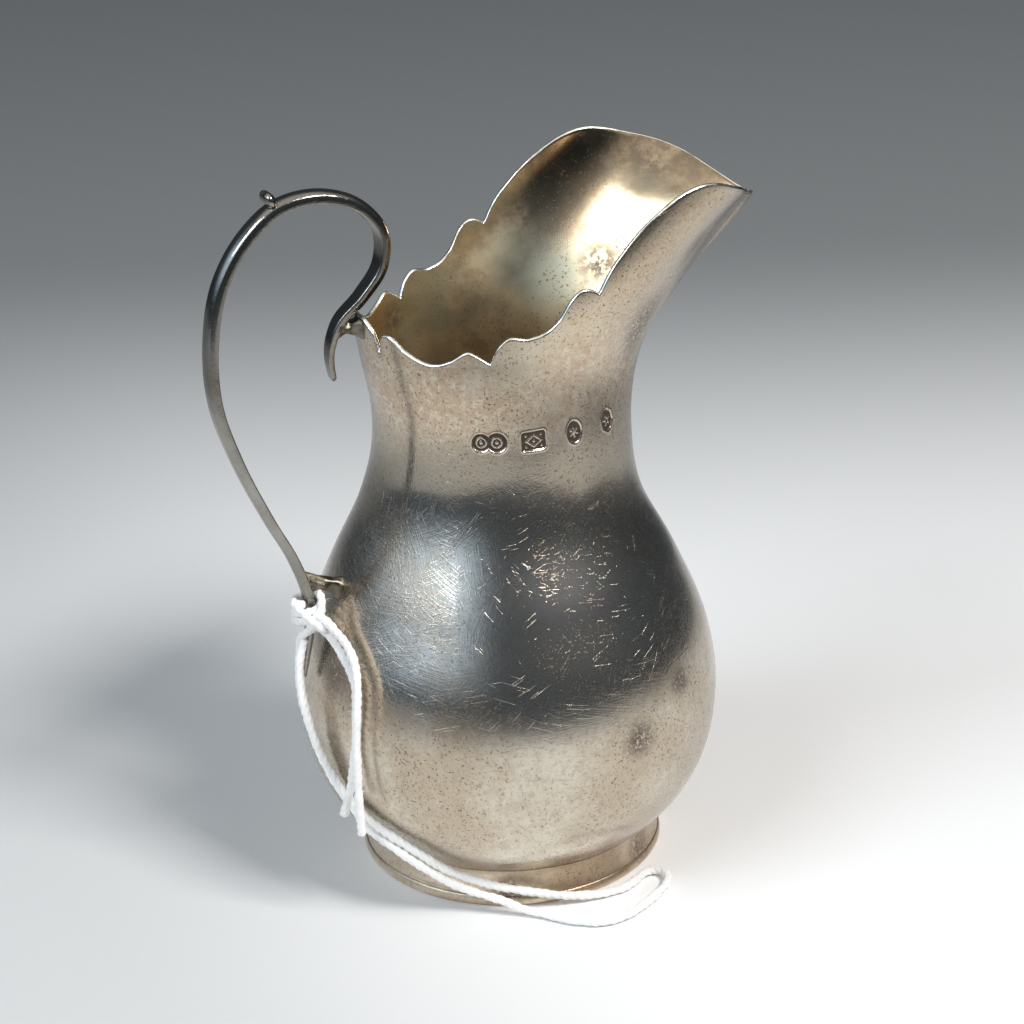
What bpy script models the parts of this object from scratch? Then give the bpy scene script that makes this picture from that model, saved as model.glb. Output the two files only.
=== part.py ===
"""A small baluster cream jug in silver, with a scalloped rim, a scroll handle and a ticket string tied on.

Lengths in the constants are millimetres. The jug's own axis is x = AXIS_X, its spout points along +X,
its handle along -X, and it stands on z = 0.
"""

import math

import bpy
import numpy as np
from mathutils import Vector

MM = 0.001

# Driving dimensions
AXIS_X = 0.56
WALL = 0.6
JOINT_RADIUS = 20.0
JOINT_HEIGHT = 5.0
BELLY_RADIUS = 28.0
BELLY_HEIGHT = 21.8
SPOUT_REACH = 37.3
SPOUT_HEIGHT = 85.4
RIM_HEIGHT = 92.4
GAP = 0.35

# Profiles as (height, value). The body is round up to NECK_HEIGHT. From there it goes over to a plan with
# its own reach to the front, to the back and to the sides.
NECK_HEIGHT = 41.4
BELLY = [
    (JOINT_HEIGHT, JOINT_RADIUS),
    (8.5, 23.4),
    (12.0, 25.6),
    (BELLY_HEIGHT, BELLY_RADIUS),
    (31.6, 26.85),
    (NECK_HEIGHT, 22.9),
    (51.2, 18.2),
]
BACK = BELLY + [(57.4, 16.4), (63.0, 16.15), (70.0, 17.3), (77.0, 18.45), (RIM_HEIGHT, 20.0)]
FRONT = BELLY + [
    (57.4, 17.6),
    (63.0, 18.2),
    (70.0, 21.5),
    (77.0, 28.6),
    (SPOUT_HEIGHT, SPOUT_REACH),
    (RIM_HEIGHT, 40.6),
]
SIDE = BELLY + [(61.6, 16.8), (72.8, 16.7), (81.2, 18.1), (RIM_HEIGHT, 17.5)]
# Where the plan is widest, in front of the axis, and how pointed it is towards the spout
WIDEST = [(51.2, 0.0), (61.6, 0.0), (72.8, -0.4), (81.2, 5.9), (RIM_HEIGHT, 17.0)]
BEAK = [(51.2, 0.5), (61.6, 0.6), (72.8, 0.875), (SPOUT_HEIGHT, 1.25), (89.0, 0.9), (RIM_HEIGHT, 0.5)]

# The underside, as (radius, height) from the centre out to the joint with the foot
BOTTOM = [(8.0, 3.0), (15.0, 3.4), (18.2, 4.0), (19.5, 4.6)]
BOTTOM_CENTRE = 2.9

# The rim, as (degrees from the spout, height), one list from cusp to cusp. Both sides are alike, but for
# the hand-raised lip, which stands this much higher on the +Y side and lower on the -Y side.
RIM_LEAN = [(0, 0.0), (8, 0.2), (17, 0.45), (29, 0.22), (36, 0.0)]
RIM_SWEEP = [
    (0, SPOUT_HEIGHT),
    (5, 86.65),
    (14, 88.45),
    (29, 91.0),
    (40, RIM_HEIGHT),
    (51, 89.9),
    (61.5, 86.1),
    (67, 83.6),
    (70.6, 81.15),
]
RIM_FRONT = [
    (70.6, 81.15),
    (73, 81.7),
    (77.5, 81.9),
    (82, 80.6),
    (85.5, 78.7),
    (90, 77.35),
    (98, 76.5),
    (109, 76.4),
    (112.5, 75.2),
    (115, 73.6),
]
RIM_BACK = [
    (115, 73.6),
    (119, 74.4),
    (124, 75.1),
    (131, 74.0),
    (139, 73.3),
    (152, 74.6),
    (160, 76.1),
    (163.5, 75.6),
    (166, 73.4),
]
RIM_JOIN = [(166, 73.4), (168.5, 75.6), (172, 76.9), (180, 77.4)]
# Each lobe with the number of mesh columns across it
RIM = [(RIM_SWEEP, 15), (RIM_FRONT, 13), (RIM_BACK, 12), (RIM_JOIN, 3)]

BELLY_ROWS = [8.0, 11.5, 15.5, 20.0, 25.0, 30.0, 34.5, 38.0]
NECK_ROWS = 11

# The foot's sections, as (radius, height)
COLLAR = [(19.9, 4.45), (19.75, 3.2), (19.8, 2.1), (20.0, 1.5), (19.1, 1.5), (18.95, 2.6), (19.0, 3.9)]
WIRE = [(20.1, 1.15), (20.45, 0.9), (20.55, 0.5), (20.3, 0.0), (19.2, 0.0), (19.0, 0.5), (19.1, 1.15)]
FOOT_STEPS = 64

# The handle's centre line in the plane of the spout, as (x from the jug's axis, height)
HANDLE_ROUTE = [
    (-21.9, 69.2),
    (-22.15, 73.3),
    (-20.9, 76.5),
    (-17.6, 79.6),
    (-14.9, 83.2),
    (-14.6, 87.4),
    (-17.2, 91.0),
    (-22.2, 93.0),
    (-27.7, 92.4),
    (-32.3, 88.9),
    (-35.5, 84.1),
    (-37.4, 76.5),
    (-37.4, 68.8),
    (-35.4, 61.4),
    (-31.7, 52.4),
    (-28.8, 46.2),
    (-27.3, 41.0),
    (-27.3, 37.0),
    (-27.9, 33.5),
    (-28.6, 29.6),
]
# Breadth and thickness along it, as (share of the length, size), and where its limbs by the body end or start
HANDLE_BREADTH = [
    (0.0, 1.3),
    (0.05, 2.15),
    (0.14, 2.95),
    (0.25, 3.15),
    (0.5, 3.1),
    (0.75, 2.6),
    (0.9, 2.3),
    (1.0, 0.9),
]
HANDLE_THICKNESS = [
    (0.0, 0.8),
    (0.08, 1.3),
    (0.18, 1.55),
    (0.3, 1.6),
    (0.5, 1.6),
    (0.8, 1.3),
    (0.92, 1.15),
    (1.0, 0.6),
]
HANDLE_STATIONS = 56
UPPER_TAIL = 0.16
LOWER_LIMB = 0.6
# Half of the handle's section, as shares of (half breadth, thickness) from the inner face to the crown
HANDLE_SECTION = [(0.0, -0.5), (0.8, -0.5), (1.0, -0.3), (1.0, 0.0), (0.75, 0.32), (0.35, 0.47), (0.0, 0.5)]

SPUR_PLACE = (-28.1, 92.3)
SPUR_SIZE = (1.1, 3.4, 1.3)
# Its section, as (share of the thickness, share of the height), its stations, as shares of the breadth, and
# how fast its height falls off towards the ends
SPUR_ARCH = [(-0.5, 0.0), (-0.42, 0.6), (-0.2, 0.93), (0.0, 1.0), (0.2, 0.93), (0.42, 0.6), (0.5, 0.0)]
SPUR_STATIONS = [-0.5, -0.44, -0.25, 0.0, 0.25, 0.44, 0.5]
SPUR_FALL = 1.9

# The solder lumps run from the handle to the wall, as (height, half size across, half size up) on the way
NECK_SOLDER = [(75.9, 0.8, 0.8), (75.9, 0.9, 0.8), (75.8, 1.2, 1.1)]
BELLY_SOLDER = [(43.3, 0.85, 1.1), (42.4, 0.8, 0.9), (41.2, 1.3, 1.5)]
SOLDER_RINGS = 5
SOLDER_SIDES = 12

# The ticket string
STRING_DIAMETER = 1.1
STRING_LOOP = [
    (-28.6, -1.9, 36.2),
    (-29.8, -2.6, 33.2),
    (-30.1, -3.3, 30.0),
    (-29.9, -4.5, 26.5),
    (-29.2, -6.0, 22.5),
    (-28.0, -7.8, 18.8),
    (-26.3, -10.1, 15.6),
    (-24.2, -12.5, 13.1),
    (-21.8, -14.7, 11.2),
    (-19.4, -16.4, 9.3),
    (-17.1, -16.9, 7.3),
    (-14.5, -17.3, 5.5),
    (-12.0, -18.1, 4.3),
    (-9.8, -19.1, 3.5),
    (-7.5, -20.0, 2.9),
    (-5.0, -20.9, 2.3),
    (-2.3, -21.6, 1.6),
    (0.8, -22.0, 1.0),
    (4.0, -22.2, 0.65),
    (6.8, -21.9, 0.65),
    (8.7, -21.0, 0.65),
    (10.3, -20.0, 0.65),
    (11.7, -19.8, 0.65),
    (12.7, -20.6, 0.65),
    (12.9, -21.9, 0.65),
    (12.2, -23.2, 0.65),
    (10.2, -24.9, 0.65),
    (7.2, -26.8, 0.65),
    (3.6, -28.3, 0.65),
    (0.0, -28.2, 0.65),
    (-2.9, -26.4, 0.65),
    (-5.4, -23.7, 0.75),
    (-7.9, -21.6, 1.1),
    (-10.3, -20.0, 2.2),
    (-12.8, -18.6, 3.1),
    (-15.4, -17.5, 4.4),
    (-17.9, -17.0, 6.3),
    (-20.2, -16.2, 8.3),
    (-22.6, -14.4, 10.3),
    (-24.7, -11.6, 12.1),
    (-26.3, -9.0, 15.1),
    (-27.8, -6.7, 18.3),
    (-28.8, -4.9, 22.0),
    (-29.5, -3.4, 26.0),
    (-29.7, -2.2, 29.5),
    (-29.4, -1.5, 33.0),
    (-28.8, -0.8, 36.2),
]
TAIL_SHORT = [
    (-27.0, -3.2, 37.9),
    (-26.3, -4.6, 37.2),
    (-25.8, -7.4, 36.0),
    (-25.5, -9.4, 34.6),
    (-25.4, -11.2, 32.6),
    (-25.7, -12.0, 29.8),
    (-26.0, -12.2, 26.0),
    (-26.6, -12.2, 22.0),
    (-27.3, -11.8, 18.0),
    (-28.1, -11.3, 14.7),
]
TAIL_LONG = [
    (-26.6, -4.3, 39.3),
    (-25.9, -6.0, 38.4),
    (-25.2, -8.6, 37.1),
    (-25.1, -10.7, 35.5),
    (-25.6, -12.7, 33.4),
    (-26.2, -13.6, 30.4),
    (-26.6, -13.8, 26.4),
    (-26.7, -13.9, 22.0),
    (-26.7, -13.8, 17.5),
    (-26.5, -13.6, 12.6),
]
KNOT_CENTRE = (-27.15, 38.9)
KNOT_HEIGHT = 4.2
KNOT_HOLE = (1.05, 1.7)
KNOT_BAND = 0.95
KNOT_END_BAND = 0.33
KNOT_SHOULDER = 0.6
KNOT_STEPS = 20


def curve(knots, at):
    """The smooth curve through the knots, given as (place, value), at one place or an array of them."""
    places, values = np.array(knots, float).T
    at = np.clip(at, places[0], places[-1])
    steps = np.diff(places)
    chords = np.diff(values) / steps
    slopes = np.empty(len(places))
    slopes[1:-1] = (chords[:-1] * steps[1:] + chords[1:] * steps[:-1]) / (steps[1:] + steps[:-1])
    slopes[0] = 1.5 * chords[0] - 0.5 * slopes[1]
    slopes[-1] = 1.5 * chords[-1] - 0.5 * slopes[-2]
    left = np.clip(np.searchsorted(places, at, side="right") - 1, 0, len(steps) - 1)
    step = steps[left]
    share = (at - places[left]) / step
    keep = 1 - share
    ends = values[left] * keep**2 * (1 + 2 * share) + values[left + 1] * share**2 * (3 - 2 * share)
    return ends + step * share * keep * (slopes[left] * keep - slopes[left + 1] * share)


def wall_radius(degrees, height):
    """The outer radius of the body in this direction from the spout, at this height."""
    if height <= NECK_HEIGHT:
        return float(curve(BELLY, height))
    turns = np.linspace(0, math.pi, 361)
    widest = curve(WIDEST, height)
    reach = np.where(turns < math.pi / 2, curve(FRONT, height) - widest, curve(BACK, height) + widest)
    power = np.where(turns < math.pi / 2, 2 * curve(BEAK, height), 1.0)
    x = widest + reach * np.cos(turns)
    y = curve(SIDE, height) * np.sin(turns) ** power
    return float(np.interp(abs(degrees), np.degrees(np.arctan2(y, x)), np.hypot(x, y)))


def wall_point(degrees, height):
    radius = wall_radius(degrees, height)
    angle = math.radians(degrees)
    return (AXIS_X + radius * math.cos(angle), radius * math.sin(angle), height)


def rim_columns():
    """(degrees, height) of the rim at each column of the mesh, once round from the spout."""
    half = [(0.0, SPOUT_HEIGHT)]
    for lobe, count in RIM:
        for degrees in np.linspace(lobe[0][0], lobe[-1][0], count + 1)[1:]:
            half.append((float(degrees), float(curve(lobe, degrees))))
    left = [(degrees, height + float(curve(RIM_LEAN, degrees))) for degrees, height in half]
    right = [(-degrees, height - float(curve(RIM_LEAN, degrees))) for degrees, height in half[-2:0:-1]]
    return left + right


def material(name, colour, roughness, metallic):
    made = bpy.data.materials.new(name)
    made.use_nodes = True
    shader = made.node_tree.nodes["Principled BSDF"]
    shader.inputs["Base Color"].default_value = (*colour, 1)
    shader.inputs["Roughness"].default_value = roughness
    shader.inputs["Metallic"].default_value = metallic
    return made


def mesh_object(name, points, faces, look):
    mesh = bpy.data.meshes.new(name)
    mesh.from_pydata([[value * MM for value in point] for point in points], [], faces)
    mesh.shade_smooth()
    mesh.materials.append(look)
    made = bpy.data.objects.new(name, mesh)
    bpy.context.scene.collection.objects.link(made)
    return made


def joined_rings(count, size, closed=False):
    """The four-sided faces between rings of size points, each ring following the one before."""
    faces = []
    for ring in range(count if closed else count - 1):
        here = ring * size
        there = (ring + 1) % count * size
        for i in range(size):
            after = (i + 1) % size
            faces.append((here + i, here + after, there + after, there + i))
    return faces


def capped_tube(name, rings, look):
    """A solid through these rings of points, closed at both ends."""
    size = len(rings[0])
    points = [point for ring in rings for point in ring]
    faces = joined_rings(len(rings), size)
    faces.append(tuple(reversed(range(size))))
    faces.append(tuple(range(len(points) - size, len(points))))
    return mesh_object(name, points, faces, look)


def ring_object(name, section, look):
    """A ring about the jug's axis with this section, given as (radius, height) outside first, going down."""
    points = []
    for step in range(FOOT_STEPS):
        angle = 2 * math.pi * step / FOOT_STEPS
        for radius, height in section:
            points.append((AXIS_X + radius * math.cos(angle), radius * math.sin(angle), height))
    return mesh_object(name, points, joined_rings(FOOT_STEPS, len(section), closed=True), look)


def body(look):
    columns = rim_columns()
    points = [(AXIS_X, 0.0, BOTTOM_CENTRE)]
    for radius, height in BOTTOM + [(JOINT_RADIUS, JOINT_HEIGHT)]:
        for degrees, _ in columns:
            angle = math.radians(degrees)
            points.append((AXIS_X + radius * math.cos(angle), radius * math.sin(angle), height))
    for height in BELLY_ROWS:
        points += [wall_point(degrees, height) for degrees, _ in columns]
    for row in range(NECK_ROWS + 1):
        share = row / NECK_ROWS
        for degrees, rim in columns:
            points.append(wall_point(degrees, NECK_HEIGHT + (rim - NECK_HEIGHT) * share))
    size = len(columns)
    rows = (len(points) - 1) // size
    faces = [tuple(1 + i for i in face) for face in joined_rings(rows, size)]
    faces += [(0, 1 + (i + 1) % size, 1 + i) for i in range(size)]
    made = mesh_object("body", points, faces, look)
    shell = made.modifiers.new("wall", "SOLIDIFY")
    shell.thickness = WALL * MM
    shell.offset = -1
    shell.use_even_offset = True
    shell.use_quality_normals = True
    return made


def handle_line():
    """Points evenly along the handle's centre line, with the direction of travel at each."""
    places = np.array(HANDLE_ROUTE)
    lengths = np.concatenate([[0], np.cumsum(np.hypot(*np.diff(places, axis=0).T))])
    at = np.linspace(0, lengths[-1], HANDLE_STATIONS)
    x = curve(np.column_stack([lengths, places[:, 0]]), at)
    z = curve(np.column_stack([lengths, places[:, 1]]), at)
    along = np.column_stack([np.gradient(x), np.gradient(z)])
    return x, z, along / np.linalg.norm(along, axis=1)[:, None]


def handle(look):
    section = HANDLE_SECTION + [(-side, out) for side, out in HANDLE_SECTION[-2:0:-1]]
    rings = []
    for i, (x, z, (run, rise)) in enumerate(zip(*handle_line())):
        share = i / (HANDLE_STATIONS - 1)
        half_breadth = float(curve(HANDLE_BREADTH, share)) / 2
        thickness = float(curve(HANDLE_THICKNESS, share))
        ring = []
        for side, out in reversed(section):
            lift = out * thickness
            ring.append((AXIS_X + x + rise * lift, side * half_breadth, z - run * lift))
        rings.append(ring)
    return capped_tube("handle", rings, look)


def thumb_spur(look):
    """A low bar across the handle's top, with a rounded crown."""
    x, z, along = handle_line()
    nearest = int(np.argmin(np.hypot(x - SPUR_PLACE[0], z - SPUR_PLACE[1])))
    run, rise = along[nearest]
    thick, broad, tall = SPUR_SIZE
    foot = float(curve(HANDLE_THICKNESS, nearest / (HANDLE_STATIONS - 1))) / 2 + GAP
    rings = []
    for share in SPUR_STATIONS:
        swell = 1 - SPUR_FALL * share * share
        ring = []
        for forward, up in reversed(SPUR_ARCH):
            ahead = forward * thick
            lift = foot + up * tall * swell
            place_x = AXIS_X + x[nearest] + run * ahead + rise * lift
            ring.append((place_x, share * broad, z[nearest] + rise * ahead - run * lift))
        rings.append(ring)
    return capped_tube("thumb_spur", rings, look)


def handle_face(height, upper):
    """x of the handle's face towards the body, at this height, on its upper tail or on its lower limb."""
    x, z, along = handle_line()
    shares = np.linspace(0, 1, HANDLE_STATIONS)
    limb = shares < UPPER_TAIL if upper else shares > LOWER_LIMB
    order = np.flatnonzero(limb)
    order = order[np.argsort(z[order])]
    share = np.interp(height, z[order], shares[order])
    lean = abs(np.interp(height, z[order], along[order, 1]))
    return float(np.interp(height, z[order], x[order]) + curve(HANDLE_THICKNESS, share) / 2 / lean)


def solder_lump(name, shape, upper, look):
    """A waisted plug between the handle and the wall."""
    shares = np.linspace(0, 1, len(shape))
    rings = []
    for share in np.linspace(0, 1, SOLDER_RINGS):
        z, across, up = [float(curve(list(zip(shares, column)), share)) for column in zip(*shape)]
        ring = []
        for i in range(SOLDER_SIDES):
            turn = 2 * math.pi * i / SOLDER_SIDES
            y = across * math.cos(turn)
            height = z + up * math.sin(turn)
            radius = wall_radius(180, height) + GAP
            wall_x = -math.sqrt(radius * radius - y * y)
            handle_x = handle_face(height, upper) + GAP
            ring.append((AXIS_X + (1 - share) * handle_x + share * wall_x, y, height))
        rings.append(ring)
    return capped_tube(name, rings, look)


def cord(name, route, look):
    """A round cord along the route, with capped ends."""
    line = bpy.data.curves.new(name, "CURVE")
    line.dimensions = "3D"
    line.bevel_depth = STRING_DIAMETER / 2 * MM
    line.bevel_resolution = 2
    line.use_fill_caps = True
    spline = line.splines.new("POLY")
    spline.points.add(len(route) - 1)
    for point, (x, y, z) in zip(spline.points, route):
        point.co = (Vector((AXIS_X + x, y, z)) * MM).to_4d()
    line.materials.append(look)
    made = bpy.data.objects.new(name, line)
    bpy.context.scene.collection.objects.link(made)
    return made


def string_knot(look):
    """The wraps of the string round the handle, as one band with the handle's hole through it."""
    low = KNOT_CENTRE[1] - KNOT_HEIGHT / 2
    high = KNOT_CENTRE[1] + KNOT_HEIGHT / 2
    hole_x, hole_y = KNOT_HOLE
    section = [
        (KNOT_END_BAND, low),
        (KNOT_BAND, low + KNOT_SHOULDER),
        (KNOT_BAND, high - KNOT_SHOULDER),
        (KNOT_END_BAND, high),
        (0.0, high),
        (0.0, low),
    ]
    points = []
    for step in range(KNOT_STEPS):
        turn = 2 * math.pi * step / KNOT_STEPS
        for reach, height in section:
            x = KNOT_CENTRE[0] + (hole_x + reach) * math.cos(turn)
            points.append((AXIS_X + x, (hole_y + reach) * math.sin(turn), height))
    faces = [tuple(reversed(face)) for face in joined_rings(KNOT_STEPS, len(section), closed=True)]
    return mesh_object("string_knot", points, faces, look)


def main():
    for old in list(bpy.data.objects):
        bpy.data.objects.remove(old, do_unlink=True)
    silver = material("tarnished_silver", (0.62, 0.57, 0.48), 0.32, 1.0)
    foot_silver = material("foot_silver", (0.55, 0.46, 0.33), 0.35, 1.0)
    handle_silver = material("handle_silver", (0.36, 0.35, 0.33), 0.3, 1.0)
    solder = material("solder", (0.3, 0.28, 0.25), 0.5, 1.0)
    cotton = material("cotton_string", (0.88, 0.88, 0.86), 0.9, 0.0)
    body(silver)
    ring_object("foot_collar", COLLAR, foot_silver)
    ring_object("foot_wire", WIRE, foot_silver)
    handle(handle_silver)
    thumb_spur(handle_silver)
    solder_lump("neck_solder", NECK_SOLDER, True, solder)
    solder_lump("belly_solder", BELLY_SOLDER, False, solder)
    string_knot(cotton)
    cord("string_loop", STRING_LOOP, cotton)
    cord("string_tail_short", TAIL_SHORT, cotton)
    cord("string_tail_long", TAIL_LONG, cotton)


main()
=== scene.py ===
"""The looks of the small silver cream jug: its tarnished body, foot and handle, and its ticket string.

Lengths are millimetres unless a name or a comment says otherwise. The jug's axis is x = AXIS_X, its spout
points along +X, its handle along -X, and it stands on z = 0. Every piece rides on the one body.
"""

import functools
import math

import bmesh
import bpy
import numpy as np
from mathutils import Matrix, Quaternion, Vector


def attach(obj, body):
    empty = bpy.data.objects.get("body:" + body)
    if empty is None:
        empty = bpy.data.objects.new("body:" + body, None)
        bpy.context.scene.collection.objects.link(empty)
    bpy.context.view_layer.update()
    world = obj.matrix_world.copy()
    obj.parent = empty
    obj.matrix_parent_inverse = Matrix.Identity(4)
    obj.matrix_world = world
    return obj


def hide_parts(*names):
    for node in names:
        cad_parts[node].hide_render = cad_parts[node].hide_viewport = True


MM = 0.001
BODY = "root"

# The camera, by where it looks and from where
CAMERA_TARGET = (2.1, 0.0, 47.0)
CAMERA_AZIMUTH = -22.93
CAMERA_ELEVATION = 22.60
CAMERA_ROLL = -1.92
CAMERA_DISTANCE = 322.6
CAMERA_LENS = 86.42

# The jug's own dimensions, as in its CAD
AXIS_X = 0.56
WALL = 0.6
JOINT_RADIUS = 20.0
JOINT_HEIGHT = 5.0
BELLY_RADIUS = 28.0
BELLY_HEIGHT = 21.8
SPOUT_REACH = 37.3
SPOUT_HEIGHT = 85.4
RIM_HEIGHT = 92.4
NECK_HEIGHT = 41.4
BELLY = [
    (JOINT_HEIGHT, JOINT_RADIUS), (8.5, 23.4), (12.0, 25.6), (BELLY_HEIGHT, BELLY_RADIUS),
    (31.6, 26.85), (NECK_HEIGHT, 22.9), (51.2, 18.2),
]
BACK = BELLY + [(57.4, 16.4), (63.0, 16.15), (70.0, 17.3), (77.0, 18.45), (RIM_HEIGHT, 20.0)]
FRONT = BELLY + [
    (57.4, 17.6), (63.0, 18.2), (70.0, 21.5), (77.0, 28.6), (SPOUT_HEIGHT, SPOUT_REACH),
    (RIM_HEIGHT, 40.6),
]
SIDE = BELLY + [(61.6, 16.8), (72.8, 16.7), (81.2, 18.1), (RIM_HEIGHT, 17.5)]
WIDEST = [(51.2, 0.0), (61.6, 0.0), (72.8, -0.4), (81.2, 5.9), (RIM_HEIGHT, 17.0)]
BEAK = [(51.2, 0.5), (61.6, 0.6), (72.8, 0.875), (SPOUT_HEIGHT, 1.25), (89.0, 0.9), (RIM_HEIGHT, 0.5)]
BOTTOM = [(0.6, 2.9), (4.0, 2.92), (8.0, 3.0), (12.0, 3.15), (15.0, 3.4), (18.2, 4.0), (19.5, 4.6)]
RIM_LEAN = [(0, 0.0), (8, 0.2), (17, 0.45), (29, 0.22), (36, 0.0)]
RIM = [
    [
        (0, SPOUT_HEIGHT), (5, 86.65), (14, 88.45), (29, 91.0), (40, RIM_HEIGHT), (51, 89.9),
        (61.5, 86.1), (67, 83.6), (70.6, 81.15),
    ],
    [
        (70.6, 81.15), (73, 81.7), (77.5, 81.9), (82, 80.6), (85.5, 78.7), (90, 77.35), (98, 76.5),
        (109, 76.4), (112.5, 75.2), (115, 73.6),
    ],
    [
        (115, 73.6), (119, 74.4), (124, 75.1), (131, 74.0), (139, 73.3), (152, 74.6), (160, 76.1),
        (163.5, 75.6), (166, 73.4),
    ],
    [(166, 73.4), (168.5, 75.6), (172, 76.9), (180, 77.4)],
]

# The body's mesh: columns this many degrees apart or nearer, and rows this far apart
COLUMN_STEP = 0.68
BELLY_ROW_STEP = 1.1
NECK_LEVEL = 58.0
MARK_TOP = 68.5
MARK_ROW_STEP = 0.5
LIP_ROWS = 24
LIP_CROWDING = 1.3
INNER_STRIDE = 2
EDGE_HEIGHT = 0.24
EDGE_STEPS = 6
# The radius at which the wall's flat coordinates have their true width
LAY_RADIUS = 22.0
# The body's materials, in the order of their slots
OUTSIDE, INSIDE, RIM_EDGE, MARK_GROUND = range(4)

# The four punched marks in the neck: (degrees from the spout, height, half width, half height, tilt in
# degrees, outline, device). The metal pushed up round them is the burr.
MARK_DEPTH = 0.2
MARK_RELIEF = 0.13
MARK_CUTS = 3
MARK_RADIUS = 16.8
BURR_HEIGHT = 0.035
BURR_PLACE = 0.16
BURR_WIDTH = 0.09
MARKS = [
    (-116.7, 63.35, 2.2, 1.25, 0, "twin", "rings"),
    (-97.6, 63.25, 1.55, 1.2, 2, "block", "lozenge"),
    (-78.3, 63.35, 1.1, 1.4, 6, "oval", "star"),
    (-57.6, 63.2, 1.15, 1.4, 14, "shield", "rosette"),
]

# The handle, as in the CAD, in the plane of the spout
HANDLE_ROUTE = [
    (-21.9, 69.2), (-22.15, 73.3), (-20.9, 76.5), (-17.6, 79.6), (-14.9, 83.2), (-14.6, 87.4),
    (-17.2, 91.0), (-22.2, 93.0), (-27.7, 92.4), (-32.3, 88.9), (-35.5, 84.1), (-37.4, 76.5),
    (-37.4, 68.8), (-35.4, 61.4), (-31.7, 52.4), (-28.8, 46.2), (-27.3, 41.0), (-27.3, 37.0),
    (-27.9, 33.5), (-28.6, 29.6),
]
HANDLE_BREADTH = [
    (0.0, 1.3), (0.05, 2.15), (0.14, 2.95), (0.25, 3.15), (0.5, 3.1), (0.75, 2.6), (0.9, 2.3),
    (1.0, 0.9),
]
HANDLE_THICKNESS = [
    (0.0, 0.8), (0.08, 1.3), (0.18, 1.55), (0.3, 1.6), (0.5, 1.6), (0.8, 1.3), (0.92, 1.15), (1.0, 0.6),
]
HANDLE_STATIONS = 280
HANDLE_GIRTH = 9.0
HANDLE_END = 0.55

# The ticket string, with its routes as in the CAD
STRING_DIAMETER = 1.1
STRING_LOOP = [
    (-28.6, -1.9, 36.2), (-29.8, -2.6, 33.2), (-30.1, -3.3, 30.0), (-29.9, -4.5, 26.5),
    (-29.2, -6.0, 22.5), (-28.0, -7.8, 18.8), (-26.3, -10.1, 15.6), (-24.2, -12.5, 13.1),
    (-21.8, -14.7, 11.2), (-19.4, -16.4, 9.3), (-17.1, -16.9, 7.3), (-14.5, -17.3, 5.5),
    (-12.0, -18.1, 4.3), (-9.8, -19.1, 3.5), (-7.5, -20.0, 2.9), (-5.0, -20.9, 2.3), (-2.3, -21.6, 1.6),
    (0.8, -22.0, 1.0), (4.0, -22.2, 0.65), (6.8, -21.9, 0.65), (8.7, -21.0, 0.65), (10.3, -20.0, 0.65),
    (11.7, -19.8, 0.65), (12.7, -20.6, 0.65), (12.9, -21.9, 0.65), (12.2, -23.2, 0.65),
    (10.2, -24.9, 0.65), (7.2, -26.8, 0.65), (3.6, -28.3, 0.65), (0.0, -28.2, 0.65),
    (-2.9, -26.4, 0.65), (-5.4, -23.7, 0.75), (-7.9, -21.6, 1.1), (-10.3, -20.0, 2.2),
    (-12.8, -18.6, 3.1), (-15.4, -17.5, 4.4), (-17.9, -17.0, 6.3), (-20.2, -16.2, 8.3),
    (-22.6, -14.4, 10.3), (-24.7, -11.6, 12.1), (-26.3, -9.0, 15.1), (-27.8, -6.7, 18.3),
    (-28.8, -4.9, 22.0), (-29.5, -3.4, 26.0), (-29.7, -2.2, 29.5), (-29.4, -1.5, 33.0),
    (-28.8, -0.8, 36.2),
]
TAIL_SHORT = [
    (-28.7, -1.9, 39.3), (-28.2, -2.6, 38.6), (-27.0, -3.2, 37.9), (-26.3, -4.6, 37.2),
    (-25.8, -7.4, 36.0), (-25.5, -9.4, 34.6), (-25.4, -11.2, 32.6), (-25.7, -12.0, 29.8),
    (-26.0, -12.2, 26.0), (-26.6, -12.2, 22.0), (-27.3, -11.8, 18.0), (-28.1, -11.3, 14.7),
]
TAIL_LONG = [
    (-27.6, -3.0, 39.8), (-26.6, -4.3, 39.3), (-25.9, -6.0, 38.4), (-25.2, -8.6, 37.1),
    (-25.1, -10.7, 35.5), (-25.6, -12.7, 33.4), (-26.2, -13.6, 30.4), (-26.6, -13.8, 26.4),
    (-26.7, -13.9, 22.0), (-26.7, -13.8, 17.5), (-26.5, -13.6, 12.6),
]


# ---- shapes shared by several pieces


def curve(knots, at):
    """The smooth curve through the knots, given as (place, value), at one place or an array of them."""
    places, values = np.array(knots, float).T
    at = np.clip(at, places[0], places[-1])
    steps = np.diff(places)
    chords = np.diff(values) / steps
    slopes = np.empty(len(places))
    slopes[1:-1] = (chords[:-1] * steps[1:] + chords[1:] * steps[:-1]) / (steps[1:] + steps[:-1])
    slopes[0] = 1.5 * chords[0] - 0.5 * slopes[1]
    slopes[-1] = 1.5 * chords[-1] - 0.5 * slopes[-2]
    left = np.clip(np.searchsorted(places, at, side="right") - 1, 0, len(steps) - 1)
    step = steps[left]
    share = (at - places[left]) / step
    keep = 1 - share
    ends = values[left] * keep**2 * (1 + 2 * share) + values[left + 1] * share**2 * (3 - 2 * share)
    return ends + step * share * keep * (slopes[left] * keep - slopes[left + 1] * share)


def smooth_line(points, step):
    """Points about step apart on the smooth curve through these points, in any number of dimensions."""
    points = np.array(points, float)
    lengths = np.concatenate([[0], np.cumsum(np.linalg.norm(np.diff(points, axis=0), axis=1))])
    at = np.linspace(0, lengths[-1], int(math.ceil(lengths[-1] / step)) + 1)
    return np.stack([curve(np.column_stack([lengths, column]), at) for column in points.T], axis=1)


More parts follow.
